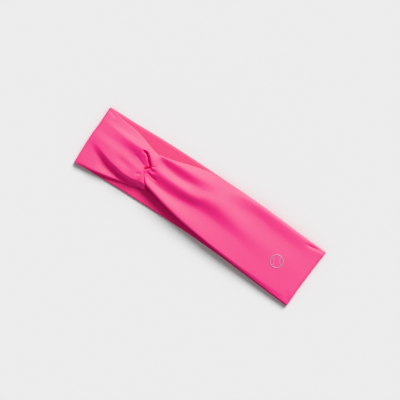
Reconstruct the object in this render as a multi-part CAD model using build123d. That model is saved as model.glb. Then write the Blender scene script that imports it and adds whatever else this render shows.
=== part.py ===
from build123d import *
import os
from math import cos, radians, sin

# Knotted sports headband, lying flat: two double-ply fabric strips that hook through each other in
# a front knot and are sewn together at the back.
#
# Units are millimetres. X runs along the band, Y across it, Z up from the surface that it lies on.
# The origin is on that surface, under the middle of the band.

# ---- Driving dimensions -------------------------------------------------------------------------
LENGTH = 235.0            # lying flat, fold to fold
WIDTH = 60.0              # across the band, the same all along it
BOW = 3.3                 # the band bends sideways by this much, middle against ends
PLY = 0.8                 # one ply of knitted fabric
GAP_END = 3.2             # clear height of the loop at its two folds
GAP_MID = 5.0             # clear height of the loop along the front
KNOT_X, KNOT_Y = -58.0, 1.6
KNOT_HALF = 16.2          # half width of the knot
SEAM_X = 59.0             # seam at the back of the head, half a turn from the knot
THREAD = 0.3

# ---- Worked-out places --------------------------------------------------------------------------
FAR = 40.0                                        # beyond every edge, for solids that get trimmed
PAST_FOLD = 3.0                                   # the plan outline runs past the folds by this
STRIP = 2 * PLY                                   # thickness of a strip
FOLD_IN = GAP_END / 2                             # inner radius of an end fold
FOLD_Z = STRIP + FOLD_IN                          # height of an end fold's centre
FOLD_X = LENGTH / 2 - FOLD_IN - STRIP             # distance of an end fold's centre from the middle
FRONT_END_Z = STRIP + GAP_END                     # underside of the front at a fold
FRONT_MID_Z = STRIP + GAP_MID                     # underside of the front along the band
RAMP_X = 95.0                                     # where the right front reaches its full height
JOIN_X = 110.0                                    # where a fold hands over to its front
JOIN_Z = FRONT_END_Z + (FRONT_MID_Z - FRONT_END_Z) * (FOLD_X - JOIN_X) / (FOLD_X - RAMP_X)

# Knot: each strip's gathered end goes round the other's and is sewn to its own underside.
BUNDLE = 3.4                                      # thickness of the gathered left strip
LOOP_CLEAR = 0.2                                  # between the two loops, and above the back layer
HOOK_HEIGHT = 3.2                                 # thickness of the gathered right strip
HOOK_WIDTH = 7.4                                  # its width on each side of the left loop
HOOK_CLEAR = 0.4                                  # beside the left loop
LOOP_HALF = KNOT_HALF - HOOK_WIDTH - HOOK_CLEAR   # half width of the left loop
LOOP_IN = HOOK_HEIGHT / 2 + LOOP_CLEAR            # inner radius of the left loop's bend
LOOP_Z = STRIP + LOOP_CLEAR + BUNDLE + LOOP_IN    # height of its centre
LOOP_X = KNOT_X + 6.0                             # centre of that bend
NECK_X = KNOT_X - 16.0                            # where the left front has risen to the knot
NECK_HALF = KNOT_HALF - 1.2                       # half width of the left front at the knot
TAIL_X = KNOT_X - 26.0                            # end of the left strip
TAIL_LEVEL = 3.0                                  # the tail's level stretch, where it is sewn
TAIL_GAP = 0.4                                    # below the front that it is sewn to
HOOK_X = KNOT_X + 1.0                             # centre of the right loop's bend
HOOK_END_X = KNOT_X + 16.0                        # where the right front begins
HOOK_DIP_X = HOOK_X + 7.0                         # where the returning side starts to dip
HOOK_LOW_X = HOOK_END_X - 2.0                     # where it is low enough to pass under the front
HOOK_TAIL_X = HOOK_END_X + 8.0                    # end of the right strip

# Back seam: both strips turn up and lie to the left, inside the loop.
TURN_UP = 6.0                                     # width of the seam allowance
TURN_PLY = 0.5                                    # one ply there, pressed flat
SEAM_PITCH = 2.6                                  # from one stitch to the next
STITCH = 2.0                                      # length of one stitch
OVERLOCK = 3.6                                    # reach of an overlock loop over the turned edges

# Edge seams: a line of stitching between the plies, just inside each long edge.
EDGE_INSET = 1.4
EDGE_GROOVE = THREAD + 0.1

# Tacks: a row of stitches across each strip's end.
TACK_REACH = 1.6
TACK_PITCH = 1.3
TACK_CLEAR = 0.05

# Generic ball mark printed on the right front.
MARK_X, MARK_Y = 85.9, -2.9
MARK_R, MARK_LINE, MARK_T = 6.4, 1.1, 0.15
MARK_TURN = 35.0                                  # direction of the ball's seam
MARK_SEAM_R, MARK_SEAM_AWAY = 0.95 * MARK_R, 1.35 * MARK_R


# ---- Helpers ------------------------------------------------------------------------------------
def face_of(edges):
    """The flat face that a closed chain of edges bounds."""
    return make_face(Wire(edges))


def across(face, low=-FAR, high=FAR):
    """A face in the XZ plane, made into a solid from Y = low to Y = high."""
    solid = extrude(face, amount=(high - low) / 2, dir=(0, 1, 0), both=True)
    return Pos(0, (low + high) / 2, 0) * solid


def block(x, y, z):
    """A box from its three ranges."""
    size = [high - low for low, high in (x, y, z)]
    middle = [(low + high) / 2 for low, high in (x, y, z)]
    return Pos(*middle) * Box(*size)


def polygon_xz(points):
    """A face in the XZ plane with straight sides."""
    corners = [Vector(x, 0, z) for x, z in points]
    return face_of([Line(a, b) for a, b in zip(corners, corners[1:] + corners[:1])])


def layer_xz(points):
    """A face in the XZ plane between a lower and an upper line: points are (x, lower, upper)."""
    return polygon_xz([(x, low) for x, low, _ in points] + [(x, up) for x, _, up in points[::-1]])


def prism(upper, lower):
    """Two long edges, both from left to right, made into a tall solid that trims a strip."""
    ends = [Line(upper @ 0, lower @ 0), Line(upper @ 1, lower @ 1)]
    return extrude(face_of([upper, lower, *ends]), amount=FAR, dir=(0, 0, 1))


def half_ring_xz(x, z, inner, outer, side):
    """Half a ring in the XZ plane, bulging towards +X (side 1) or -X (side -1)."""
    def arc(r):
        return ThreePointArc((x, 0, z - r), (x + side * r, 0, z), (x, 0, z + r))

    return face_of([
        arc(outer),
        arc(inner),
        Line((x, 0, z - outer), (x, 0, z - inner)),
        Line((x, 0, z + inner), (x, 0, z + outer)),
    ])


# ---- Plan outlines ------------------------------------------------------------------------------
# Each takes an inset, which moves both long edges inwards.
def band_edges(x, inset=0.0):
    """The band's upper and lower edge at x, where the strip is bent into a slight crescent."""
    sideways = BOW / 2 - BOW * (2 * x / LENGTH) ** 2
    return WIDTH / 2 - inset + sideways, inset - WIDTH / 2 + sideways


def band_outline(inset=0.0):
    """The whole band seen from above. It runs past the folds, which set the band's length."""
    reach = LENGTH / 2 + PAST_FOLD
    end_up, end_down = band_edges(reach, inset)
    mid_up, mid_down = band_edges(0, inset)
    upper = ThreePointArc((-reach, end_up, 0), (0, mid_up, 0), (reach, end_up, 0))
    lower = ThreePointArc((-reach, end_down, 0), (0, mid_down, 0), (reach, end_down, 0))
    return prism(upper, lower)


def left_front_outline(inset=0.0):
    """The left front narrows from the fold to the knot."""
    up, down = -inset, inset
    start_up, start_down = band_edges(JOIN_X, inset)
    upper = Spline((-JOIN_X, start_up, 0), (-97, 26.8 + up, 0), (-77, 23.6 + up, 0),
                   (HOOK_X, KNOT_Y + NECK_HALF + up, 0))
    lower = Spline((-JOIN_X, start_down, 0), (-95, -28.3 + down, 0), (-80, -24.8 + down, 0),
                   (HOOK_X, KNOT_Y - NECK_HALF + down, 0))
    return prism(upper, lower)


def right_front_outline(inset=0.0):
    """The right front narrows to the knot, its lower edge over a longer stretch."""
    up, down = -inset, inset
    upper = Spline((HOOK_END_X, 22.3 + up, 0), (-30, 26.0 + up, 0), (-6, 30.9 + up, 0),
                   (30, 33.0 + up, 0), (JOIN_X, 33.0 + up, 0))
    lower = Spline((HOOK_END_X, -14.6 + down, 0), (-6, -21.6 + down, 0), (54, -27.2 + down, 0),
                   (JOIN_X, band_edges(JOIN_X, inset)[1], 0))
    return prism(upper, lower) & band_outline(inset)


# ---- Layers -------------------------------------------------------------------------------------
# In each, low and high are distances from the strip's inner face, 0, to its outer one, STRIP.
def back_and_fold(side, rear_x, low, high, inset=0.0):
    """The back layer from rear_x to an end, the fold there, and the front as far as JOIN_X."""
    fold_x = side * FOLD_X
    rear = block(sorted((rear_x, fold_x)), (-FAR, FAR), (STRIP - high, STRIP - low))
    fold = across(half_ring_xz(fold_x, FOLD_Z, FOLD_IN + low, FOLD_IN + high, side))
    front = across(layer_xz([
        (fold_x, FRONT_END_Z + low, FRONT_END_Z + high),
        (side * JOIN_X, JOIN_Z + low, JOIN_Z + high),
    ]))
    return (rear + fold + front) & band_outline(inset)


def left_front(low, high, inset=0.0):
    """The left front, from JOIN_X up to the knot, thickening as it is gathered."""
    thick_low, thick_high = low / STRIP * BUNDLE, high / STRIP * BUNDLE
    top = LOOP_Z + LOOP_IN
    rising = across(layer_xz([
        (-JOIN_X, JOIN_Z + low, JOIN_Z + high),
        (NECK_X, top + thick_low, top + thick_high),
        (HOOK_X, top + thick_low, top + thick_high),
    ]))
    return rising & left_front_outline(inset)


def left_front_underside(x):
    """Height of the left front's lower face between JOIN_X and the knot."""
    return JOIN_Z + (LOOP_Z + LOOP_IN - JOIN_Z) * (x + JOIN_X) / (NECK_X + JOIN_X)


def left_loop(low, high):
    """The left strip's end: over the right strip's loop, round it, and back underneath."""
    near, far = LOOP_IN + low / STRIP * BUNDLE, LOOP_IN + high / STRIP * BUNDLE
    tail_top = left_front_underside(TAIL_X) - TAIL_GAP
    bend = half_ring_xz(LOOP_X, LOOP_Z, near, far, 1)
    over = layer_xz([(HOOK_X, LOOP_Z + near, LOOP_Z + far), (LOOP_X, LOOP_Z + near, LOOP_Z + far)])
    under = layer_xz([
        (TAIL_X, tail_top - high, tail_top - low),
        (TAIL_X + TAIL_LEVEL, tail_top - high, tail_top - low),
        (NECK_X + 1, LOOP_Z - far, LOOP_Z - near),
        (LOOP_X, LOOP_Z - far, LOOP_Z - near),
    ])
    sides = (KNOT_Y - LOOP_HALF, KNOT_Y + LOOP_HALF)
    return across(over, *sides) + across(bend, *sides) + across(under, *sides)


def right_front(low, high, inset=0.0):
    """The right front: a ramp up from the fold, then level to the knot."""
    level = across(layer_xz([
        (HOOK_END_X, FRONT_MID_Z + low, FRONT_MID_Z + high),
        (RAMP_X, FRONT_MID_Z + low, FRONT_MID_Z + high),
        (JOIN_X, JOIN_Z + low, JOIN_Z + high),
    ]))
    return level & right_front_outline(inset)


def right_loop(low, high):
    """The right strip's end: along one side of the left loop, round it, back along the other
    side, and down under the right front."""
    inner, outer = LOOP_HALF + HOOK_CLEAR, KNOT_HALF
    base = LOOP_Z - HOOK_HEIGHT / 2
    bottom, top = base + HOOK_HEIGHT * low / STRIP, base + HOOK_HEIGHT * high / STRIP
    dip = base + HOOK_HEIGHT - FRONT_MID_Z + LOOP_CLEAR

    def arc(r):
        return ThreePointArc((HOOK_X, KNOT_Y - r, 0), (HOOK_X - r, KNOT_Y, 0),
                             (HOOK_X, KNOT_Y + r, 0))

    bend = extrude(face_of([
        arc(outer),
        arc(inner),
        Line((HOOK_X, KNOT_Y - outer, 0), (HOOK_X, KNOT_Y - inner, 0)),
        Line((HOOK_X, KNOT_Y + inner, 0), (HOOK_X, KNOT_Y + outer, 0)),
    ]), amount=top - bottom, dir=(0, 0, 1))
    going = block((HOOK_X, HOOK_END_X), (KNOT_Y + inner, KNOT_Y + outer), (bottom, top))
    returning = across(layer_xz([
        (HOOK_X, bottom, top),
        (HOOK_DIP_X, bottom, top),
        (HOOK_LOW_X, bottom - dip, top - dip),
        (HOOK_TAIL_X, bottom - dip, top - dip),
    ]), KNOT_Y - outer, KNOT_Y - inner)
    return Pos(0, 0, bottom) * bend + going + returning


def turned_up_left(low, high):
    """The left strip's edge at the back seam: it turns up and lies back on itself."""
    if low == 0:
        return block((SEAM_X - TURN_UP, SEAM_X - PLY), (-FAR, FAR), (STRIP, STRIP + TURN_PLY))
    top = STRIP + 2 * TURN_PLY
    flat = block((SEAM_X - TURN_UP, SEAM_X), (-FAR, FAR), (top - TURN_PLY, top))
    return flat + block((SEAM_X - PLY, SEAM_X), (-FAR, FAR), (STRIP - high, top))


def turned_up_right(low, high):
    """The right strip's edge: it turns up and lies to the left, on the left strip's."""
    inner = low == 0
    top = STRIP + (4 if inner else 3) * TURN_PLY
    wall = SEAM_X + (PLY if inner else 0)
    flat = block((SEAM_X - TURN_UP, wall + PLY), (-FAR, FAR), (top - TURN_PLY, top))
    return flat + block((wall, wall + PLY), (-FAR, FAR), (STRIP - high, top))


# ---- Nodes --------------------------------------------------------------------------------------
def edge_seams(side, rear_x, thick):
    """Two lines of stitching of one strip, from the back seam round the fold to the knot."""
    low, high = PLY - thick / 2, PLY + thick / 2
    front = left_front if side < 0 else right_front
    front_outline = left_front_outline if side < 0 else right_front_outline
    start, end = EDGE_INSET - thick / 2, EDGE_INSET + thick / 2
    back = back_and_fold(side, rear_x, low, high, start) - band_outline(end)
    return back + (front(low, high, start) - front_outline(end))


def left_panel(low, high):
    """One ply of the left strip, from the back seam round to the knot."""
    rear_x = SEAM_X - (PLY if low == 0 else 0)
    turned = turned_up_left(low, high) & band_outline()
    body = back_and_fold(-1, rear_x, low, high) + turned
    body = body + left_front(low, high) + left_loop(low, high)
    return body - edge_seams(-1, SEAM_X, EDGE_GROOVE)


def right_panel(low, high):
    """One ply of the right strip, from the back seam round to the knot."""
    rear_x = SEAM_X + (PLY if low == 0 else 0)
    turned = turned_up_right(low, high) & band_outline()
    body = back_and_fold(1, rear_x, low, high) + turned
    body = body + right_front(low, high) + right_loop(low, high)
    return body - edge_seams(1, SEAM_X, EDGE_GROOVE)


def back_seam():
    """Overlock loops over the turned-up edges, and the row of stitches that closes the seam."""
    edge, top = SEAM_X - TURN_UP, STRIP + 4 * TURN_PLY
    count = int((WIDTH - BOW - 4) / SEAM_PITCH)
    row_x = edge + OVERLOCK + 2 * THREAD
    pieces = []
    for i in range(count + 1):
        y = (i - count / 2) * SEAM_PITCH
        over = block((edge - THREAD, edge + OVERLOCK), (y, y + THREAD), (top, top + THREAD))
        down = block((edge - THREAD, edge), (y, y + THREAD), (STRIP, top))
        pieces.append(over + down)
        pieces.append(block((row_x, row_x + THREAD), (y, y + STITCH), (top, top + THREAD)))
    return pieces


def tack(end_x, outward, low, high, y_low, y_high):
    """Stitches over a strip's end at end_x, from its lower face at low up to the layer at high."""
    count = int((y_high - y_low - 1) / TACK_PITCH)
    middle = (y_low + y_high) / 2
    under = sorted((end_x + outward * THREAD, end_x - outward * TACK_REACH))
    upright = sorted((end_x, end_x + outward * THREAD))
    pieces = []
    for i in range(count + 1):
        y = middle + (i - count / 2) * TACK_PITCH
        loop = block(under, (y - THREAD / 2, y + THREAD / 2), (low - THREAD, low))
        rise = block(upright, (y - THREAD / 2, y + THREAD / 2), (low, high - TACK_CLEAR))
        pieces.append(loop + rise)
    return pieces


def left_tack():
    """Sews the left strip's end to the underside of the left front."""
    low = left_front_underside(TAIL_X) - TAIL_GAP - STRIP
    high = left_front_underside(TAIL_X - THREAD)
    return tack(TAIL_X, -1, low, high, KNOT_Y - LOOP_HALF, KNOT_Y + LOOP_HALF)


def right_tack():
    """Sews the right strip's end to the underside of the right front."""
    low = FRONT_MID_Z - LOOP_CLEAR - HOOK_HEIGHT
    inner = LOOP_HALF + HOOK_CLEAR
    return tack(HOOK_TAIL_X, 1, low, FRONT_MID_Z, KNOT_Y - KNOT_HALF, KNOT_Y - inner)


def ball_mark():
    """A printed ball: a ring and the two curved lines of a ball's seam inside it."""
    mark = Cylinder(MARK_R, MARK_T) - Cylinder(MARK_R - MARK_LINE, 2 * MARK_T)
    inside = Cylinder(MARK_R - MARK_LINE / 2, MARK_T)
    line = (Cylinder(MARK_SEAM_R + MARK_LINE / 2, MARK_T)
            - Cylinder(MARK_SEAM_R - MARK_LINE / 2, 2 * MARK_T))
    for angle in (radians(MARK_TURN), radians(MARK_TURN + 180)):
        away = Pos(MARK_SEAM_AWAY * cos(angle), MARK_SEAM_AWAY * sin(angle), 0)
        mark = mark + (inside & (away * line))
    return Pos(MARK_X, MARK_Y, FRONT_MID_Z + STRIP + MARK_T / 2) * mark


NODES = {
    "left_outer_panel": left_panel(PLY, STRIP),
    "left_inner_panel": left_panel(0, PLY),
    "right_outer_panel": right_panel(PLY, STRIP),
    "right_inner_panel": right_panel(0, PLY),
    "left_edge_seams": edge_seams(-1, SEAM_X - 2 * PLY, THREAD),
    "right_edge_seams": edge_seams(1, SEAM_X + 3 * PLY, THREAD),
    "back_seam": Compound(children=back_seam()),
    "left_tack": Compound(children=left_tack()),
    "right_tack": Compound(children=right_tack()),
    "ball_mark": ball_mark(),
}

os.makedirs("parts", exist_ok=True)
for name, shape in NODES.items():
    shape.label = name
    export_step(shape, f"parts/{name}.step")
    print(f"{name}: {len(shape.solids())} solids, {shape.volume:.0f} mm3")
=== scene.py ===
import bpy
import numpy as np
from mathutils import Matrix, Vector


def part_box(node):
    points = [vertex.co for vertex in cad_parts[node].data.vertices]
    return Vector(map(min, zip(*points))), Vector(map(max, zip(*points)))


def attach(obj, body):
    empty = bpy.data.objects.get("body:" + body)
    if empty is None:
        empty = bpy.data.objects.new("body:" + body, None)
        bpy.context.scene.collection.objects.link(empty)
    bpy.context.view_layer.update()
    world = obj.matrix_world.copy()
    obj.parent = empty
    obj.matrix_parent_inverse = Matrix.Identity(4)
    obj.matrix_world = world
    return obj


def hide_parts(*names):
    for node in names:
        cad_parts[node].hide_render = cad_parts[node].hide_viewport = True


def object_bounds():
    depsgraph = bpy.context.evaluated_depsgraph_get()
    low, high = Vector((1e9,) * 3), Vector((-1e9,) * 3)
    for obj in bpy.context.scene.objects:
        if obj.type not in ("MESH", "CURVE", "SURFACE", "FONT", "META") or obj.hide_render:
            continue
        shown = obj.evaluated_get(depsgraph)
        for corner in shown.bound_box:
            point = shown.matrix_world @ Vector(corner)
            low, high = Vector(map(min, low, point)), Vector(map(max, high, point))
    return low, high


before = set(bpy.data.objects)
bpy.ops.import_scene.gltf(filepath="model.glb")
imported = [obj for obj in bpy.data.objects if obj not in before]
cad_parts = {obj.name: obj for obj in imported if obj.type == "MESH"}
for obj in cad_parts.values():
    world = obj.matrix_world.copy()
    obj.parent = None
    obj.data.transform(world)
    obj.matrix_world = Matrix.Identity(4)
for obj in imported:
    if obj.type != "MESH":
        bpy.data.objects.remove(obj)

MM = 0.001
CAD_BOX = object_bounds()
LOW = np.array(CAD_BOX[0]) / MM
HIGH = np.array(CAD_BOX[1]) / MM
HALF_LENGTH = (HIGH[0] - LOW[0]) / 2
HALF_WIDTH = (HIGH[1] - LOW[1]) / 2

# The shapes below are designed on a band of this size, and stretched to the frame's.
DESIGN_HALF_LENGTH, DESIGN_HALF_WIDTH, DESIGN_HEIGHT = 117.5, 31.65, 12.2
SCALE_X = HALF_LENGTH / DESIGN_HALF_LENGTH
SCALE_Y = HALF_WIDTH / DESIGN_HALF_WIDTH
SCALE_Z = (HIGH[2] - LOW[2]) / DESIGN_HEIGHT

PLY = 0.75               # one ply of knitted fabric
PLY_GAP = 0.06           # between the plies
THICK = 2 * PLY + PLY_GAP    # a strip
EDGE = THICK / 2         # radius of the rolled edges
ROWS = 96                # points across a strip


# ---- Smooth interpolation -----------------------------------------------------------------------
def pchip_slopes(x, y):
    """Slopes for monotone cubic pieces through y at x. y may have further axes after the first."""
    shape = (-1,) + (1,) * (y.ndim - 1)
    step = np.diff(x, axis=0) if x.ndim == y.ndim else np.diff(x).reshape(shape)
    rise = np.diff(y, axis=0) / step
    slopes = np.zeros_like(y)
    slopes[0], slopes[-1] = rise[0], rise[-1]
    before, after = rise[:-1], rise[1:]
    same_way = before * after > 0
    weight_a = 2 * step[1:] + step[:-1]
    weight_b = step[1:] + 2 * step[:-1]
    safe_before = np.where(same_way, before, 1.0)
    safe_after = np.where(same_way, after, 1.0)
    mean = (weight_a + weight_b) / (weight_a / safe_before + weight_b / safe_after)
    slopes[1:-1] = np.where(same_way, mean, 0.0)
    return slopes


def pchip(x, y, at):
    """Monotone cubic through the points (x, y), held level past its ends."""
    x, y, at = np.asarray(x, float), np.asarray(y, float), np.asarray(at, float)
    slopes = pchip_slopes(x, y)
    at = np.clip(at, x[0], x[-1])
    i = np.clip(np.searchsorted(x, at) - 1, 0, len(x) - 2)
    h = x[i + 1] - x[i]
    t = (at - x[i]) / h
    return hermite(t, h, y[i], y[i + 1], slopes[i], slopes[i + 1])


def hermite(t, h, a, b, slope_a, slope_b):
    return ((2 * t**3 - 3 * t**2 + 1) * a + (t**3 - 2 * t**2 + t) * h * slope_a
            + (3 * t**2 - 2 * t**3) * b + (t**3 - t**2) * h * slope_b)


def smoothstep(t):
    t = np.clip(t, 0, 1)
    return t * t * (3 - 2 * t)


# ---- Fold lines ---------------------------------------------------------------------------------
# A front is drawn as fold lines that run along it, from its upper edge to its lower one. At each
# station along X, a line has its Y and the height of the fabric's face there.
LEFT_X = (-118, -112, -102, -92, -82, -74, -67, -61, -56, -50)
LEFT_LINES = {
    "upper_edge": ((28.3, 27.3, 25.8, 25.1, 23.9, 21.8, 19.9, 18.4, 17.4, 16.8),
                   (4.0, 4.1, 4.1, 4.4, 5.0, 5.8, 6.8, 7.6, 8.2, 8.6)),
    "lobe_face": ((22, 20, 18.7, 18.6, 18.3, 17.6, 17.2, 15.6, 13.8, 12.2),
                  (4.3, 4.6, 5.2, 5.9, 6.9, 8.1, 9.0, 9.9, 10.4, 10.6)),
    "lobe_crest": ((15, 14.5, 13.8, 13.2, 13.2, 13.5, 14.4, 11.6, 8.0, 6.4),
                   (4.5, 5.2, 6.5, 8.2, 10.2, 11.7, 12.2, 12.4, 12.1, 11.6)),
    "crease": ((8, 7.5, 6.5, 5.8, 5.0, 3.2, 1.3, 0.4, -0.4, -1),
               (4.5, 5.2, 6.4, 7.4, 8.3, 8.9, 9.3, 9.5, 9.6, 9.6)),
    "bulge_crest": ((0, -1, -2, -3, -3.2, -3.8, -4.5, -5, -5.4, -5.8),
                    (4.6, 5.8, 7.4, 8.6, 9.4, 9.9, 10.1, 10.0, 9.6, 9.3)),
    "bulge_shoulder": ((-3.5, -5, -8, -11.3, -13.2, -14.4, -14.2, -12.8, -11.8, -11.4),
                       (4.6, 5.6, 7.3, 8.8, 9.6, 10.0, 9.9, 9.6, 9.3, 9.0)),
    "valley": ((-9, -11, -15, -17.8, -18.8, -19.2, -19.0, -17.8, -16.4, -15.4),
               (4.4, 4.7, 4.2, 3.1, 2.7, 2.6, 2.7, 3.2, 4.8, 6.2)),
    "flap_crest": ((-27, -28, -27.6, -26.0, -24.0, -22.1, -20.2, -18.5, -16.9, -15.8),
                   (3.8, 4.1, 4.5, 4.7, 4.4, 3.8, 3.2, 3.2, 4.6, 6.2)),
    "lower_edge": ((-31.6, -31.2, -30.0, -28.0, -25.6, -23.2, -21.1, -19.3, -17.7, -16.4),
                   (3.6, 3.2, 2.8, 2.6, 2.6, 2.6, 2.6, 3.0, 4.3, 6.0)),
}
RIGHT_X = (-60, -56, -52, -42, -30, -18, -7, 3, 12, 24, 36, 50, 70, 90, 112, 118)
RIGHT_LINES = {
    "upper_edge": ((17.6, 18.2, 19.1, 21.7, 25.4, 28.7, 30.9, 31.7, 32.0, 32.1, 32.1, 31.8, 30.9, 29.9,
                    29.0, 28.8),
                   (7.8, 8.2, 8.2, 7.8, 7.0, 6.2, 5.6, 5.2, 5.0, 5.2, 5.8, 6.6, 6.4, 5.6, 4.3, 4.0)),
    "flap_crest": ((16.2, 17.0, 17.7, 18.9, 19.3, 19.3, 19.4, 21.5, 24, 27, 28.5, 29, 28.3, 27.3, 26,
                    25),
                   (9.3, 9.9, 10.4, 10.6, 10.5, 10.1, 9.4, 8.4, 7.4, 6.9, 7.2, 7.6, 7.3, 6.5, 4.8,
                    4.6)),
    "upper_valley": ((13.8, 14.2, 13.6, 11.6, 10.6, 11.8, 14, 15.5, 18, 20, 20.5, 20, 17.5, 16.5, 16,
                      16),
                     (11.0, 10.4, 9.5, 8.1, 7.9, 8.3, 9.2, 9.4, 8.9, 7.6, 6.7, 6.4, 6.1, 5.6, 4.7,
                      4.5)),
    "wide_crest": ((9.5, 6.8, 5.0, 3.8, 3.6, 3.6, 5, 8.6, 9.0, 7.4, 5.0, 2.5, 0.5, -1, -3, -3),
                   (12.5, 12.0, 11.5, 11.2, 11.1, 10.9, 10.8, 10.7, 10.5, 9.7, 8.9, 8.1, 7.3, 6.4, 5.1,
                    4.9)),
    "big_valley": ((-3.2, -4.0, -4.8, -6.8, -7.3, -6.6, -5.6, -5, -5.2, -6, -6.8, -8, -10.5, -12.5,
                    -14, -14),
                   (9.8, 9.3, 8.4, 7.6, 7.1, 6.9, 6.8, 6.8, 6.9, 7.1, 7.2, 7.2, 6.9, 6.2, 5.1, 4.9)),
    "lower_crest": ((-8.6, -9.4, -10.4, -12.8, -15.6, -18, -19.8, -21.2, -22.2, -23.4, -24.2, -24.8,
                     -25.2, -25, -24, -24),
                    (10.2, 10.4, 10.4, 10.3, 9.9, 9.5, 9.0, 8.6, 8.3, 8.0, 7.7, 7.3, 6.6, 5.9, 4.9, 4.7)),
    "lower_edge": ((-12.0, -12.4, -12.9, -14.9, -17.7, -20.1, -21.9, -23.0, -23.9, -25.1, -26.1, -27.1,
                    -28.4, -29.5, -30.6, -30.9),
                   (8.4, 8.8, 9.2, 9.3, 8.8, 8.0, 7.3, 6.7, 6.4, 6.1, 5.8, 5.5, 5.0, 4.5, 3.8, 3.6)),
}


LINES_APART = 1e-3       # keeps fold lines that meet from having the same Y


def line_at(lines, stations, name, part, x):
    """A fold line's Y (part 0) or height (part 1) at x."""
    return pchip(stations, lines[name][part], x)


def height_of(lines, stations, x, y):
    """The face's height at (x, y): a smooth curve across the fold lines at that x."""
    ys = np.stack([line_at(lines, stations, n, 0, x) for n in lines])[::-1]
    zs = np.stack([line_at(lines, stations, n, 1, x) for n in lines])[::-1]
    apart = np.arange(len(ys)).reshape((-1,) + (1,) * x.ndim) * LINES_APART
    ys = np.maximum.accumulate(ys + apart)
    slopes = pchip_slopes(ys, zs)
    y = np.clip(y, ys[0], ys[-1])
    i = np.clip((ys <= y).sum(0) - 1, 0, len(ys) - 2)

    def pick(a, k):
        return np.take_along_axis(a, k[None], 0)[0]

    y0, y1 = pick(ys, i), pick(ys, i + 1)
    h = y1 - y0
    t = (y - y0) / h
    return hermite(t, h, pick(zs, i), pick(zs, i + 1), pick(slopes, i), pick(slopes, i + 1))


# The line where the left front meets the right one, from the notch at the top to the tip.
MEETING = ((-55.9, 17.4), (-55.4, 13), (-55.6, 8.5), (-56.6, 4.6), (-57.5, 2.6), (-59.6, 0.6),
           (-60.2, -1.8), (-58.4, -5.3), (-55.2, -8.9), (-52.0, -12.2), (-50.0, -15.6))

# How far to either side of that line the two fronts are blended: a little at the knot, and more
# above it, where the upper lobe runs on into the right front.
KNOT_REACH, LOBE_REACH = 2.5, 4.0
LOBE_FROM, LOBE_RISE = 4.5, 5.0


def meeting_x(y):
    points = np.array(MEETING)[::-1]
    return pchip(points[:, 1], points[:, 0], y)


def front_height(x, y):
    """The height of the whole front's face, the left and right fronts blended at the knot."""
    left = height_of(LEFT_LINES, LEFT_X, x, y)
    right = height_of(RIGHT_LINES, RIGHT_X, x, y)
    reach = KNOT_REACH + LOBE_REACH * smoothstep((y - LOBE_FROM) / LOBE_RISE)
    blend = smoothstep((x - meeting_x(y) + reach) / (2 * reach))
    return left + (right - left) * blend


# ---- Creases ------------------------------------------------------------------------------------
def away_from(path, x, y):
    """Distance from each (x, y) to a path of points, and how far along it, 0 to 1."""
    path = np.array(path, float)
    lengths = np.linalg.norm(np.diff(path, axis=0), axis=1)
    before = np.concatenate([[0], np.cumsum(lengths)])
    best, along = np.full(x.shape, 1e9), np.zeros(x.shape)
    for a, b, start, length in zip(path[:-1], path[1:], before, lengths):
        d = (b - a) / length
        t = np.clip((x - a[0]) * d[0] + (y - a[1]) * d[1], 0, length)
        off = np.hypot(x - a[0] - t * d[0], y - a[1] - t * d[1])
        nearer = off < best
        best = np.where(nearer, off, best)
        along = np.where(nearer, (start + t) / before[-1], along)
    return best, along


def crease(x, y, path, half_width, depth, fade=0.25):
    """A furrow along a path (depth below 0 is a ridge), fading out over a share of its ends."""
    off, along = away_from(path, x, y)
    ends = smoothstep(along / fade) * smoothstep((1 - along) / fade) if fade else 1.0
    return -depth * np.exp(-((off / half_width) ** 2)) * ends


GATHERS = (
    # path, half width, depth, fade
    (((-71, 12.2), (-67, 12.7), (-63.7, 10.4), (-60.7, 7.2), (-57.8, 4.9), (-56, 4.3)), 0.8, 3.6, 0.15),
    (((-56, 4.4), (-57.2, 2.7), (-59.6, 0.7), (-60.3, -1.6)), 0.8, 3.2, 0.12),
    (((-60.2, -1.0), (-58.4, -5.3), (-55.2, -8.9), (-52.0, -12.2)), 0.55, 1.1, 0.12),
    (((-52.8, -10.8), (-48.4, -18.6)), 1.3, 1.0, 0.25),
    (((-76, 6.4), (-70, 4.4), (-65, 2.4), (-60.6, 0.6)), 1.3, 0.45, 0.3),
    (((-56.2, 4.6), (-53.8, 5.7), (-51.5, 6.6)), 0.6, 0.5, 0.3),
    (((-56.8, 2.2), (-53.2, 1.7), (-49.5, 3.0)), 1.3, 0.6, 0.35),
    (((-56.6, -0.6), (-52, -0.8), (-46, 0.6)), 1.1, -0.35, 0.35),
    (((-58.2, -1.8), (-54.5, -2.2), (-49, -3.4), (-44, -4.0)), 0.9, 0.8, 0.3),
    (((-60.2, -5.6), (-62.4, -7.2), (-65.5, -9.4)), 1.1, 0.55, 0.3),
    (((-57, -11.5), (-60.5, -13.5)), 1.4, 0.5, 0.35),
    (((-92, -5.2), (-82, -6.4), (-74, -7.4), (-66, -9.2)), 3.2, 0.55, 0.4),
    (((98, 25.0), (105, 25.7), (112, 26.9), (119, 28.4)), 1.3, 0.9, 0.3),
    (((108, -19), (112.5, -24), (115.5, -29)), 2.2, 0.6, 0.35),
    (((-118, 27.0), (-113, 25.6), (-106, 23.6)), 2.0, 0.6, 0.4),
)


def face_height(x, y):
    """The front's face with its small gathers."""
    z = front_height(x, y)
    for path, half_width, depth, fade in GATHERS:
        z = z + crease(x, y, path, half_width, depth, fade)
    return z


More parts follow.
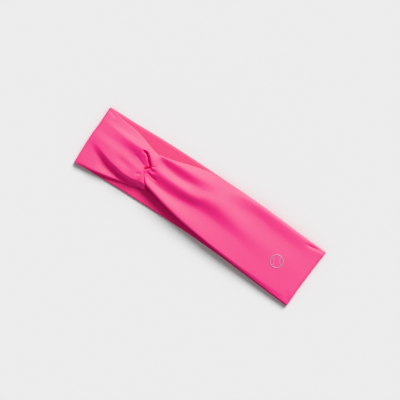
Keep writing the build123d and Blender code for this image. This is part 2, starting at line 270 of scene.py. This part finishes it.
# ---- Strips -------------------------------------------------------------------------------------
REAR_X = (-120, -92, -60, -28, 4, 36, 68, 100, 120)
REAR_UPPER = (28.4, 29.2, 30.8, 31.6, 31.8, 31.5, 30.6, 29.3, 28.6)
REAR_LOWER = (-31.5, -29.7, -28.1, -27.4, -27.0, -27.6, -29.0, -30.7, -31.6)
LEFT_FOLD = ((-31, 0, 12, 29), (-117.1, -118.2, -117.7, -117.9))
RIGHT_FOLD = ((-31, -12, 6, 18, 29), (116.3, 116.5, 117.3, 118.0, 118.9))
FRONT_FOLD_AT = 115.0    # where the fronts' outlines are read for the end folds
REAR_FOLD_AT = 116.0     # and where the rears' are
FOLD_ROWS = 19

SEAM_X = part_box("back_seam")[1].x / MM + 1.6
ALLOWANCE = 6.0          # seam allowance at the back, pressed flat and laid to the left
PRESSED = 0.9            # thickness of a strip there
LAYER_GAP = 0.05
LEFT_BEND = 1.0          # reach along X of the left strip's bend at the seam
RIGHT_BEND, RIGHT_TOP_BEND = 1.7, 0.9        # radii of the right strip's lower and upper bend
LEFT_REAR, RIGHT_REAR = -1.5, 2.4            # where the rear layers start, from the seam

KNOT_Y = 1.6
TAIL_HALF = 8.4          # half width of the gathered ends
TAIL_Z = 1.8             # height of their lower face
TAIL_BEND = 1.8
LEFT_TAIL, RIGHT_TAIL = 27.0, 24.0
GATHERED = 0.55          # share of the narrowing that is done on the way down
GATHERED_BEND = 0.1      # share of the rest that is done round the bend below
CORNER = 0.3             # share of the thickness left where a strip turns down
CORNER_OVER = 0.7        # share of the way down over which the rest comes back
MEETING_GAP = 0.008

# Steps between rows as shares of their run: the first one and the longest.
REAR_STEPS = (0.012, 0.02)
LEFT_STEPS = (0.0065, 0.013)
RIGHT_STEPS = (0.0024, 0.0075)


def spaced(fine, coarse):
    """Shares from 0 to 1, with steps growing from fine to coarse."""
    steps, growth = [fine], 1.03
    while sum(steps) < 1.0:
        steps.append(min(coarse, steps[-1] * growth))
    return np.concatenate([[0], np.cumsum(steps)]) * (1.0 / sum(steps))


def circle(angle, radius):
    """How far along X and Z a point on a bend is from the bend's centre. angle is in degrees."""
    turn = np.radians(angle)
    return radius * np.cos(turn), radius * np.sin(turn)


class Strip:
    """A strip's outer face, as rows of points across it, from the back seam round to the knot.

    side is -1 for the left strip and 1 for the right one. face has the small gathers, plain is the
    smoother one that the layers below follow, and thick is the strip's thickness at each row.
    """

    def __init__(self, side):
        self.side = side
        self.lines, self.stations = (LEFT_LINES, LEFT_X) if side < 0 else (RIGHT_LINES, RIGHT_X)
        self.across = np.linspace(0, 1, ROWS)
        self.face, self.plain, self.thick = [], [], []
        if side < 0:
            self.left_allowance()
        else:
            self.right_allowance()
        self.rear_and_fold()
        self.front()
        self.gathered_end()
        self.face = np.array(self.face)[:, ::-side]
        self.plain = np.array(self.plain)[:, ::-side]
        self.thick = np.array(self.thick)

    def add(self, x, y, z, plain_z=None, thick=THICK):
        row = np.ones(ROWS)
        low = z if plain_z is None else plain_z
        self.face.append(np.stack([x * row, y * row, z * row], 1))
        self.plain.append(np.stack([x * row, y * row, low * row], 1))
        self.thick.append(thick)

    def rear_y(self, x):
        upper = pchip(REAR_X, REAR_UPPER, x) - EDGE
        lower = pchip(REAR_X, REAR_LOWER, x) + EDGE
        return lower + (upper - lower) * self.across

    def front_y(self, x):
        upper = line_at(self.lines, self.stations, "upper_edge", 0, x) - EDGE
        lower = line_at(self.lines, self.stations, "lower_edge", 0, x) + EDGE
        return lower + (upper - lower) * self.across

    def left_allowance(self):
        """The left strip's end, turned up and back over its own rear layer."""
        top = THICK + PRESSED + LAYER_GAP
        for x in np.linspace(SEAM_X - ALLOWANCE, SEAM_X - LEFT_BEND, 6):
            self.add(x, self.rear_y(x), top, thick=PRESSED)
        first, last = 80, -80
        for angle in np.linspace(first, last, 7):
            along = circle(angle, LEFT_BEND)[0]
            up = circle(angle, top / 2)[1]
            x = SEAM_X - LEFT_BEND + along
            share = (first - angle) / (first - last)
            self.add(x, self.rear_y(x), top / 2 + up, thick=PRESSED + (THICK - PRESSED) * share)

    def right_allowance(self):
        """The right strip's end, laid to the left over the left strip's."""
        top = THICK + PRESSED + 2 * LAYER_GAP
        for x in np.linspace(SEAM_X - ALLOWANCE, SEAM_X - RIGHT_TOP_BEND, 6):
            self.add(x, self.rear_y(x), top, thick=PRESSED)
        for angle in np.linspace(80, 10, 4):
            along, up = circle(angle, RIGHT_TOP_BEND)
            x = SEAM_X - RIGHT_TOP_BEND + LAYER_GAP + along
            self.add(x, self.rear_y(x), top - RIGHT_TOP_BEND + up, thick=PRESSED)
        first, last = 180, 268
        for angle in np.linspace(first, last, 6):
            along, up = circle(angle, RIGHT_BEND)
            x = SEAM_X + LAYER_GAP + RIGHT_BEND + along
            share = (angle - first) / (last - first)
            self.add(x, self.rear_y(x), RIGHT_BEND + up, thick=PRESSED + (THICK - PRESSED) * share)

    def rear_and_fold(self):
        """The rear layer, flat on the floor, and the fold at the band's end."""
        rear_y = self.rear_y(self.side * REAR_FOLD_AT)
        fold_x = pchip(*(LEFT_FOLD if self.side < 0 else RIGHT_FOLD), rear_y)
        y_fold = self.front_y(self.side * FRONT_FOLD_AT)
        self.z_fold = face_height(self.side * FRONT_FOLD_AT * np.ones(ROWS), y_fold)
        radius = self.z_fold / 2
        self.fold_centre = centre = fold_x - self.side * radius
        start = SEAM_X + (LEFT_REAR if self.side < 0 else RIGHT_REAR)
        for share in spaced(*REAR_STEPS)[1:]:
            x = start + (centre - start) * share
            self.add(x, self.rear_y(x), 0.0)
        y_rear = self.rear_y(centre)
        for angle in np.linspace(-90, 90, FOLD_ROWS)[1:]:
            along, up = circle(angle, radius)
            y = y_rear + (y_fold - y_rear) * smoothstep((angle + 90) / 180)
            self.add(centre + self.side * along, y, radius + up)

    def front(self):
        """From the end fold to the line where the two fronts meet."""
        self.y_end = np.linspace(MEETING[-1][1] + EDGE, MEETING[0][1] - EDGE, ROWS)
        for _ in range(4):
            self.y_end = self.front_y(meeting_x(self.y_end))
        self.x_end = meeting_x(self.y_end) + self.side * MEETING_GAP
        settled = 0.05       # share of the front over which the fold's height fades out
        from_knot = spaced(*(LEFT_STEPS if self.side < 0 else RIGHT_STEPS))
        for share in (1 - from_knot)[::-1][1:]:
            x = self.fold_centre + (self.x_end - self.fold_centre) * share
            y = self.front_y(x)
            keep = smoothstep(share / settled)
            fold = self.z_fold * (1 - keep)
            self.add(x, y, face_height(x, y) * keep + fold, plain_height(x, y) * keep + fold)

    def gathered_end(self):
        """Down at the meeting line, then back under the front, and narrower."""
        top, low_top = self.face[-1][:, 2], self.plain[-1][:, 2]
        knot_x = meeting_x(np.full(ROWS, KNOT_Y))
        narrow_y = KNOT_Y + (self.across - 0.5) * 2 * TAIL_HALF
        bottom = TAIL_Z + TAIL_BEND
        for s in np.linspace(0.06, 1, 9):
            narrow = smoothstep(s) * GATHERED
            self.add(self.x_end + (knot_x - self.x_end) * narrow,
                     self.y_end + (narrow_y - self.y_end) * narrow,
                     top + (bottom - top) * s, low_top + (bottom - low_top) * s,
                     thick=THICK * (CORNER + (1 - CORNER) * smoothstep(s / CORNER_OVER)))
        x0, y0 = self.face[-1][:, 0], self.face[-1][:, 1]
        for angle in np.linspace(0, 90, 7)[1:]:
            back, down = circle(angle, TAIL_BEND)
            narrow = GATHERED_BEND * angle / 90
            self.add(x0 + self.side * (TAIL_BEND - back), y0 + (narrow_y - y0) * narrow,
                     bottom - down)
        x1, y1 = self.face[-1][:, 0], self.face[-1][:, 1]
        x2 = knot_x + self.side * (LEFT_TAIL if self.side < 0 else RIGHT_TAIL)
        # The end has its full narrowness from two thirds of the way back.
        for run in np.linspace(0, 1, 16)[1:]:
            self.add(x1 + (x2 - x1) * run, y1 + (narrow_y - y1) * smoothstep(run * 1.5), TAIL_Z)


BELOW_WIDER = 1.5        # how much wider a furrow is in the layers below
BELOW_DEPTH = 0.5        # and how deep it is there, as a share
DEEP = 2.0               # but a furrow deeper than this keeps its depth


def plain_height(x, y):
    """The face's height for the layers below it, which can't follow a furrow narrower than they
    are thick."""
    z = front_height(x, y)
    for path, half_width, depth, fade in GATHERS:
        share = 1 if depth > DEEP else BELOW_DEPTH
        z = z + crease(x, y, path, half_width + BELOW_WIDER, depth, fade) * share
    return z


def smoothed(grid, times, axis):
    for _ in range(times):
        before = np.concatenate([grid.take([0], axis), grid.take(range(grid.shape[axis] - 1), axis)],
                                axis)
        after = np.concatenate([grid.take(range(1, grid.shape[axis]), axis), grid.take([-1], axis)],
                               axis)
        grid = (before + 2 * grid + after) / 4
    return grid


def normals_of(grid):
    along, across = np.gradient(grid, axis=0), np.gradient(grid, axis=1)
    n = np.cross(along, across)
    n = n / np.maximum(np.linalg.norm(n, axis=2, keepdims=True), 1e-9)
    n = smoothed(smoothed(n, 3, 0), 3, 1)
    return n / np.maximum(np.linalg.norm(n, axis=2, keepdims=True), 1e-9)


STRIPS = {side: Strip(side) for side in (-1, 1)}


# ---- Meshes -------------------------------------------------------------------------------------
ROLL = 5                 # rows in the roll at a ply's edge
ROLL_TURN = 86           # degrees that it turns through
ROLL_INSIDE = 0.04       # smallest radius of its inner side
CREASED = 55             # degrees between faces from which an edge is sharp


def ply_grids(face, plain, thick, outer):
    """The two faces of one ply, rolled over at both long edges.

    The outer ply's own outer face is the strip's face. The inner ply is the strip's other side.
    """
    side_out = normals_of(plain)
    half = thick[:, None, None] / 2
    ply = half - PLY_GAP / 2
    middle = plain - side_out * half
    seen = face if outer else plain - side_out * 2 * half
    unseen = plain - side_out * (ply if outer else 2 * half - ply)
    n = side_out if outer else -side_out

    def roll(j, k):
        """Rows that curl over the edge at row j, away from row k."""
        outward = face[:, j] - face[:, k]
        outward -= n[:, j] * (outward * n[:, j]).sum(1, keepdims=True)
        outward /= np.linalg.norm(outward, axis=1, keepdims=True)
        high, deep = [], []
        r = half[:, 0]
        inner_r = np.maximum(r - ply[:, 0], ROLL_INSIDE)
        for i in range(1, ROLL + 1):
            a = np.radians(ROLL_TURN) * i / ROLL
            turn = n[:, j] * np.cos(a) + outward * np.sin(a)
            lift = (seen[:, j] - middle[:, j] - n[:, j] * r) * (1 - i / ROLL)
            high.append(middle[:, j] + turn * r + lift)
            deep.append(middle[:, j] + turn * inner_r)
        return np.stack(high, 1), np.stack(deep, 1)

    low_high, low_deep = roll(0, 1)
    top_high, top_deep = roll(-1, -2)
    grid_out = np.concatenate([low_high[:, ::-1], seen, top_high], 1)
    grid_in = np.concatenate([low_deep[:, ::-1], unseen, top_deep], 1)
    return (grid_out, grid_in) if outer else (grid_out[:, ::-1], grid_in[:, ::-1])


def shell(name, grid_out, grid_in):
    """A closed mesh between two grids of points, with the fabric's own measure as its UV map."""
    n, m = grid_out.shape[:2]
    index = np.arange(n * m).reshape(n, m)
    a, b, c, d = index[:-1, :-1], index[1:, :-1], index[1:, 1:], index[:-1, 1:]
    quads = [np.stack([a, b, c, d], 2).reshape(-1, 4)]
    quads.append(np.stack([a, d, c, b], 2).reshape(-1, 4) + n * m)
    for line, back in ((index[:, 0], False), (index[:, -1], True), (index[0], True),
                       (index[-1], False)):
        rim = np.stack([line[:-1], line[:-1] + n * m, line[1:] + n * m, line[1:]], 1)
        quads.append(rim[:, ::-1] if back else rim)
    faces = np.concatenate(quads).tolist()
    points = np.concatenate([grid_out.reshape(-1, 3), grid_in.reshape(-1, 3)])
    along = np.linalg.norm(np.diff(grid_out[:, m // 2], axis=0), axis=1)
    across = np.linalg.norm(np.diff(grid_out[n // 2], axis=0), axis=1)
    u = np.concatenate([[0], np.cumsum(along)])[:, None] * np.ones((1, m))
    v = np.concatenate([[0], np.cumsum(across)])[None, :] * np.ones((n, 1))
    uv = np.stack([u, v], 2).reshape(-1, 2) * MM
    return mesh_object(name, points, faces, np.concatenate([uv, uv]))


def to_frame(points):
    """Design millimetres to the frame's metres."""
    middle = (LOW + HIGH) / 2
    scaled = points * np.array([SCALE_X, SCALE_Y, SCALE_Z])
    return (scaled + np.array([middle[0], middle[1], LOW[2]])) * MM


def mesh_object(name, points, faces, uv=None):
    """A smooth mesh. With a UV map it is fabric, and sharp where it is creased."""
    mesh = bpy.data.meshes.new(name)
    mesh.from_pydata(to_frame(points).tolist(), [], faces)
    mesh.polygons.foreach_set("use_smooth", [True] * len(mesh.polygons))
    if uv is not None:
        layer = mesh.uv_layers.new(name="fabric")
        corner = np.empty(len(mesh.loops), dtype=np.int32)
        mesh.loops.foreach_get("vertex_index", corner)
        layer.data.foreach_set("uv", uv[corner].ravel())
        mesh.set_sharp_from_angle(angle=np.radians(CREASED))
    mesh.validate()
    piece = bpy.data.objects.new(name, mesh)
    bpy.context.scene.collection.objects.link(piece)
    return piece


def make_ply(side, outer, name):
    strip = STRIPS[side]
    face, plain, thick = strip.face, strip.plain, strip.thick
    if not outer:
        face, plain, thick = face[::2, ::2], plain[::2, ::2], thick[::2]
    return shell(name, *ply_grids(face, plain, thick, outer))


AROUND = 6               # points round a thread
ROUNDED = 0.6            # how far its ends are drawn out, as a share of its radius
NOT_ALONG = (0.31, 0.17, 0.93)   # a direction that no thread runs in


def tubes(name, paths, radius):
    """Closed round threads, one along each path of points."""
    points, faces = [], []
    for path in paths:
        path = np.array(path, float)
        along = np.gradient(path, axis=0)
        along /= np.linalg.norm(along, axis=1, keepdims=True)
        aside = np.cross(along, NOT_ALONG)
        aside /= np.linalg.norm(aside, axis=1, keepdims=True)
        other = np.cross(along, aside)
        base = len(points)
        ends = (path[0] - along[0] * radius * ROUNDED, path[-1] + along[-1] * radius * ROUNDED)
        for p, u, v in zip(path, aside, other):
            for k in range(AROUND):
                a = 2 * np.pi * k / AROUND
                points.append(p + radius * (u * np.cos(a) + v * np.sin(a)))
        for i in range(len(path) - 1):
            for k in range(AROUND):
                here, after = base + i * AROUND + k, base + i * AROUND + (k + 1) % AROUND
                faces.append((here, after, after + AROUND, here + AROUND))
        for end, first, turn in ((ends[0], base, 1), (ends[1], base + (len(path) - 1) * AROUND, -1)):
            points.append(end)
            tip = len(points) - 1
            for k in range(AROUND):
                pair = (first + (k + 1) % AROUND, first + k)[::turn]
                faces.append((tip, *pair))
    return mesh_object(name, np.array(points), faces)


# ---- Stitches -----------------------------------------------------------------------------------
THREAD = 0.14            # radius of a sewing thread
STITCH_PITCH, STITCH = 2.6, 1.9      # from one stitch to the next, and its length
TACK_PITCH = 1.3
SUNK = 0.08              # how far the edge stitches lie below the edge


def edge_stitches(side, name):
    """Small stitches where the two plies meet, all along both long edges."""
    plain, half = STRIPS[side].plain, STRIPS[side].thick[:, None] / 2
    n = normals_of(plain)
    margin = 1.0
    paths = []
    for j, k in ((0, 1), (-1, -2)):
        outward = plain[:, j] - plain[:, k]
        outward /= np.linalg.norm(outward, axis=1, keepdims=True)
        line = plain[:, j] - n[:, j] * half + outward * (half - SUNK)
        run = np.concatenate([[0], np.cumsum(np.linalg.norm(np.diff(line, axis=0), axis=1))])
        for start in np.arange(margin, run[-1] - STITCH - margin, STITCH_PITCH):
            at = np.linspace(start, start + STITCH, 4)
            paths.append([[np.interp(s, run, line[:, i]) for i in range(3)] for s in at])
    return tubes(name, paths, THREAD)


def back_seam_stitches():
    """Overlock loops over the raw edges, and the row that closes the seam."""
    top = THICK + 2 * PRESSED + 0.1
    edge = SEAM_X - ALLOWANCE
    count = 20
    paths = []
    for i in range(count + 1):
        y = (i - count / 2) * STITCH_PITCH + 1
        paths.append([(edge + 3.4, y, top + 0.1), (edge + 0.6, y + 0.5, top + 0.14),
                      (edge - 0.22, y + 0.7, top - 0.2), (edge - 0.22, y + 0.9, THICK + 0.3)])
        paths.append([(edge + 3.4, y, top + 0.1), (edge + 3.5, y + 1.3, top + 0.16),
                      (edge + 3.4, y + STITCH_PITCH, top + 0.1)])
        paths.append([(edge + 4.4, y, top + 0.06), (edge + 4.4, y + 1, top + 0.14),
                      (edge + 4.4, y + STITCH, top + 0.06)])
    return tubes("back_seam_stitches", paths, THREAD)


def tack_stitches(side, name):
    """A bar of slanting stitches from the end of a gathered strip up to the front above it."""
    x_end = float(meeting_x(np.array(KNOT_Y))) + side * (LEFT_TAIL if side < 0 else RIGHT_TAIL)
    paths = []
    for y in np.arange(KNOT_Y - TAIL_HALF + 1, KNOT_Y + TAIL_HALF - 1, TACK_PITCH):
        above = float(front_height(np.array(x_end), np.array(y))) - THICK
        paths.append([(x_end - side * 1.8, y, TAIL_Z - 0.1), (x_end - side * 0.5, y + 0.2, TAIL_Z - 0.14),
                      (x_end + side * 0.22, y + 0.3, TAIL_Z + 0.4),
                      (x_end + side * 0.22, y + 0.5, (above + TAIL_Z) / 2),
                      (x_end + side * 0.1, y + 0.7, above + 0.1)])
    return tubes(name, paths, THREAD)


# ---- Printed mark -------------------------------------------------------------------------------
PRINT_LINE = 1.1         # width of the printed lines
PRINT_TOP, PRINT_UNDER = 0.09, -0.05     # the film's two faces, measured up from the fabric's
BALL_TURN = 35           # degrees that the ball is turned by
SEAM_AWAY, SEAM_RADIUS = 1.35, 0.95      # its seam lines' centres and radii, as shares of its own
SEAM_HALF = 39.5         # degrees that a seam line runs to either side


def ribbon(x, y, closed, base):
    """Points and faces of a thin film on the fabric, over a grid of x and y across its width."""
    z = face_height(x, y)
    n, m = x.shape
    points = []
    for lift in (PRINT_TOP, PRINT_UNDER):
        points += np.stack([x, y, z + lift], 2).reshape(-1, 3).tolist()

    def at(i, j, deep):
        return base + (i % n) * m + j + deep * n * m

    faces = []
    last = m - 1
    for i in range(n if closed else n - 1):
        for j in range(last):
            faces.append((at(i, j, 0), at(i, j + 1, 0), at(i + 1, j + 1, 0), at(i + 1, j, 0)))
            faces.append((at(i, j, 1), at(i + 1, j, 1), at(i + 1, j + 1, 1), at(i, j + 1, 1)))
        faces.append((at(i, 0, 0), at(i + 1, 0, 0), at(i + 1, 0, 1), at(i, 0, 1)))
        faces.append((at(i, last, 0), at(i, last, 1), at(i + 1, last, 1), at(i + 1, last, 0)))
    if not closed:
        end = n - 1
        for j in range(last):
            faces.append((at(0, j, 0), at(0, j, 1), at(0, j + 1, 1), at(0, j + 1, 0)))
            faces.append((at(end, j, 0), at(end, j + 1, 0), at(end, j + 1, 1), at(end, j, 1)))
    return points, faces


def ball_print():
    """A generic ball: a ring and the two curved lines of its seam."""
    low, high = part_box("ball_mark")
    middle = (np.array(low) + np.array(high)) / 2 / MM
    x0 = (middle[0] - (LOW[0] + HIGH[0]) / 2) / SCALE_X
    y0 = (middle[1] - (LOW[1] + HIGH[1]) / 2) / SCALE_Y
    outside = (high.x - low.x) / 2 / MM
    # Each line is an arc: its angles, its centre and its inner and outer radius.
    ring = np.linspace(0, 2 * np.pi, 97)[:-1]
    arcs = [(ring, np.zeros(2), outside - PRINT_LINE, outside, True)]
    for turn in (BALL_TURN, BALL_TURN + 180):
        towards = np.radians(turn)
        centre = SEAM_AWAY * outside * np.array([np.cos(towards), np.sin(towards)])
        arc = np.radians(np.linspace(turn + 180 - SEAM_HALF, turn + 180 + SEAM_HALF, 33))
        arcs.append((arc, centre, SEAM_RADIUS * outside - PRINT_LINE / 2,
                     SEAM_RADIUS * outside + PRINT_LINE / 2, False))
    points, faces = [], []
    for arc, centre, inner, outer, closed in arcs:
        across = np.linspace(inner, outer, 4)
        directions = np.stack([np.cos(arc), np.sin(arc)], 1)
        flat = centre + directions[:, None, :] * across[None, :, None]
        more = ribbon(flat[..., 0] + x0, flat[..., 1] + y0, closed, len(points))
        points += more[0]
        faces += more[1]
    return mesh_object("ball_print", np.array(points), faces)


# ---- Materials ----------------------------------------------------------------------------------
class Nodes:
    """Short calls for building a material's nodes."""

    def __init__(self, name):
        self.material = bpy.data.materials.new(name)
        self.material.use_nodes = True
        self.tree = self.material.node_tree
        self.shader = self.tree.nodes["Principled BSDF"]

    def add(self, kind, inputs=None, **settings):
        node = self.tree.nodes.new(kind)
        for key, value in settings.items():
            setattr(node, key, value)
        for key, value in (inputs or {}).items():
            if isinstance(value, bpy.types.NodeSocket):
                self.tree.links.new(value, node.inputs[key])
            else:
                node.inputs[key].default_value = value
        return node

    def math(self, operation, *values):
        return self.add("ShaderNodeMath", dict(enumerate(values)), operation=operation).outputs[0]

    def link(self, socket, name):
        self.tree.links.new(socket, self.shader.inputs[name])

    def set(self, **values):
        """Values that are the same all over, on the shader's own sockets."""
        for name, value in values.items():
            self.shader.inputs[name.replace("_", " ")].default_value = value

    def colour(self, share, dark, light):
        """The base colour, from dark to light as share goes from 0 to 1."""
        mix = self.add("ShaderNodeMix", {"Factor": share}, data_type="RGBA")
        ends = [s for s in mix.inputs if s.type == "RGBA"]
        ends[0].default_value, ends[1].default_value = dark, light
        self.link([s for s in mix.outputs if s.type == "RGBA"][0], "Base Color")

    def noise(self, scale, detail, roughness=0.5):
        place = self.add("ShaderNodeTexCoord").outputs["Object"]
        return self.add("ShaderNodeTexNoise", {"Vector": place, "Scale": scale, "Detail": detail,
                                               "Roughness": roughness}).outputs["Fac"]

    def bump(self, height, strength, distance):
        node = self.add("ShaderNodeBump", {"Height": height, "Strength": strength,
                                           "Distance": distance})
        self.link(node.outputs[0], "Normal")


WALE, COURSE = 0.00052, 0.00044      # a knitted loop's width and height, in metres


def knit_loops(k):
    """The face of fine jersey: columns of small V-shaped loops, 0 between them to 1 on them."""
    uv = k.add("ShaderNodeUVMap", uv_map="fabric").outputs[0]
    parts = k.add("ShaderNodeSeparateXYZ", {0: uv})
    u = k.math("DIVIDE", parts.outputs[0], COURSE)
    v = k.math("DIVIDE", parts.outputs[1], WALE)
    from_middle = k.math("ABSOLUTE", k.math("SUBTRACT", k.math("FRACT", v), 0.5))
    slant = k.math("ADD", u, k.math("MULTIPLY", from_middle, 1.6))
    loops = k.math("ABSOLUTE", k.math("SINE", k.math("MULTIPLY", slant, np.pi)))
    legs = k.math("SINE", k.math("MULTIPLY", k.math("FRACT", k.math("MULTIPLY", v, 2)), np.pi))
    return k.math("MULTIPLY", k.math("POWER", loops, 0.6), k.math("POWER", legs, 0.5))


def knit(name, colour, dark, sheen_tint, rough):
    """Smooth fine-gauge jersey, slightly uneven in colour and roughness, and painted darker between its
    loops as shade.
    """
    k = Nodes(name)
    stitch = knit_loops(k)
    drift = k.noise(scale=38.0, detail=3.0, roughness=0.55)
    fine = k.noise(scale=1400.0, detail=2.0, roughness=0.6)
    # The colour is darker between the knit loops as painted shade in the gaps, and drifts at random over
    # the fabric.
    loop_shade_and_drift = k.math("ADD", k.math("MULTIPLY", stitch, 0.5),
                  k.math("ADD", k.math("MULTIPLY", drift, 0.35), k.math("MULTIPLY", fine, 0.25)))
    share = k.add("ShaderNodeMapRange", {"Value": loop_shade_and_drift, "From Min": 0.25, "From Max": 0.8})
    k.colour(share.outputs[0], dark, colour)
    uneven = k.add("ShaderNodeMapRange", {"Value": fine, "To Min": rough - 0.05,
                                          "To Max": rough + 0.05})
    k.link(uneven.outputs[0], "Roughness")
    height = k.math("ADD", stitch, k.math("MULTIPLY", fine, 0.35))
    k.bump(height, strength=0.28, distance=0.00012)
    k.set(Sheen_Weight=0.12, Sheen_Roughness=0.45, Sheen_Tint=sheen_tint)
    k.set(Specular_IOR_Level=0.9, IOR=1.6)
    return k.material


def thread(name, colour, dark):
    """Twisted polyester sewing thread, painted darker in the grooves of its twist as shade."""
    k = Nodes(name)
    place = k.add("ShaderNodeTexCoord").outputs["Object"]
    twist = k.add("ShaderNodeTexWave", {"Vector": place, "Scale": 900.0, "Distortion": 1.5,
                                        "Detail": 1.0}, bands_direction="DIAGONAL").outputs["Fac"]
    # The colour follows the twist: painted shade in its grooves.
    k.colour(twist, dark, colour)
    k.bump(twist, strength=0.5, distance=0.00006)
    k.set(Roughness=0.5, Sheen_Weight=0.15)
    return k.material


def film(name, colour, dark):
    """Reflective heat-transfer print: fine glass beads in a silver-grey film."""
    k = Nodes(name)
    place = k.add("ShaderNodeTexCoord").outputs["Object"]
    beads = k.add("ShaderNodeTexVoronoi", {"Vector": place, "Scale": 6000.0}).outputs["Distance"]
    wear = k.noise(scale=500.0, detail=4.0)
    k.colour(k.math("ADD", k.math("MULTIPLY", beads, 0.5), k.math("MULTIPLY", wear, 0.7)),
             dark, colour)
    uneven = k.add("ShaderNodeMapRange", {"Value": wear, "To Min": 0.34, "To Max": 0.5})
    k.link(uneven.outputs[0], "Roughness")
    k.bump(beads, strength=0.25, distance=0.00005)
    k.set(Metallic=0.2)
    return k.material


def paper(name):
    """The studio's pale floor."""
    k = Nodes(name)
    k.bump(k.noise(scale=900.0, detail=2.0), strength=0.04, distance=0.0001)
    k.set(Base_Color=(0.62, 0.62, 0.62, 1), Roughness=0.9, Specular_IOR_Level=0.1)
    return k.material


PINK = (0.96, 0.011, 0.238, 1)
# The darker pink is where the knit's random drift and its painted shade between loops go darkest.
PINK_DARK = (0.825, 0.007, 0.184, 1)
# The lining is the side of the rear layer seen from above. It is the jersey's duller back face, darkened
# further as painted shade from the fronts that lie over it.
LINING_DULL_WITH_PAINTED_SHADE = (0.825, 0.010, 0.18, 1)
LINING_DARK_DULL_WITH_PAINTED_SHADE = (0.71, 0.007, 0.14, 1)
OUTER = knit("outer_jersey", PINK, PINK_DARK, (1.0, 0.55, 0.72, 1), 0.66)
INNER = knit("lining_jersey", LINING_DULL_WITH_PAINTED_SHADE, LINING_DARK_DULL_WITH_PAINTED_SHADE, (1.0, 0.5, 0.66, 1), 0.72)
SEWING = thread("sewing_thread", (0.88, 0.03, 0.23, 1), (0.62, 0.015, 0.14, 1))
PRINT = film("silver_print", (0.42, 0.25, 0.35, 1), (0.32, 0.16, 0.25, 1))


# ---- Pieces -------------------------------------------------------------------------------------
def finish_piece(piece, material, node):
    piece.data.materials.append(material)
    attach(piece, "root")
    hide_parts(node)


for side, hand in ((-1, "left"), (1, "right")):
    outer_ply = make_ply(side, True, f"{hand}_outer_ply")
    finish_piece(outer_ply, OUTER, f"{hand}_outer_panel")
    inner_ply = make_ply(side, False, f"{hand}_inner_ply")
    finish_piece(inner_ply, INNER, f"{hand}_inner_panel")
    finish_piece(edge_stitches(side, f"{hand}_edge_stitches"), SEWING, f"{hand}_edge_seams")
    finish_piece(tack_stitches(side, f"{hand}_tack_stitches"), SEWING, f"{hand}_tack")
finish_piece(back_seam_stitches(), SEWING, "back_seam")
finish_piece(ball_print(), PRINT, "ball_mark")


# ---- Studio -------------------------------------------------------------------------------------
KEY_AZIMUTH, KEY_ELEVATION, KEY_SPREAD = 92, 34, 32
KEY_STRENGTH = 5.9
SKY_STRENGTH = 0.46
FLOOR_HALF, FLOOR_GAP = 3.0, 0.0001      # half the floor's side, and its gap below, in metres
CAMERA_AIM = (-2.9, 4.3)     # from the band's middle
CAMERA_TURN = 34.1
CAMERA_SEES = 364.4          # across the picture


def make_floor():
    half, z = FLOOR_HALF, LOW[2] * MM - FLOOR_GAP
    mesh = bpy.data.meshes.new("floor")
    mesh.from_pydata([(-half, -half, z), (half, -half, z), (half, half, z), (-half, half, z)], [],
                     [(0, 1, 2, 3)])
    mesh.materials.append(paper("studio_paper"))
    floor = bpy.data.objects.new("floor", mesh)
    bpy.context.scene.collection.objects.link(floor)


def make_key(azimuth, elevation, spread, strength):
    """A large soft light, far away: azimuth from +X, elevation and spread are in degrees."""
    light = bpy.data.lights.new("key", "SUN")
    light.angle = np.radians(spread)
    light.energy = strength
    lamp = bpy.data.objects.new("key", light)
    turn, rise = np.radians(azimuth), np.radians(elevation)
    towards = Vector((np.cos(rise) * np.cos(turn), np.cos(rise) * np.sin(turn), np.sin(rise)))
    lamp.rotation_mode = "QUATERNION"
    lamp.rotation_quaternion = (-towards).to_track_quat("-Z", "Y")
    lamp.location = towards
    bpy.context.scene.collection.objects.link(lamp)


def make_world(strength):
    world = bpy.data.worlds.new("studio")
    world.use_nodes = True
    background = world.node_tree.nodes["Background"]
    background.inputs["Color"].default_value = (1, 1, 1, 1)
    background.inputs["Strength"].default_value = strength
    bpy.context.scene.world = world


def make_camera():
    lens, sensor = 200.0, 36.0
    camera = bpy.data.cameras.new("camera")
    camera.lens, camera.sensor_width = lens, sensor
    camera.dof.use_dof = False
    camera.clip_end = 20
    holder = bpy.data.objects.new("camera", camera)
    middle = (LOW + HIGH) / 2
    holder.location = ((middle[0] + CAMERA_AIM[0]) * MM, (middle[1] + CAMERA_AIM[1]) * MM,
                       CAMERA_SEES * MM * lens / sensor)
    holder.rotation_euler = (0, 0, np.radians(CAMERA_TURN))
    bpy.context.scene.collection.objects.link(holder)
    bpy.context.scene.camera = holder


make_floor()
make_world(SKY_STRENGTH)
make_key(KEY_AZIMUTH, KEY_ELEVATION, KEY_SPREAD, KEY_STRENGTH)
make_camera()
bpy.context.scene.view_settings.view_transform = "Khronos PBR Neutral"
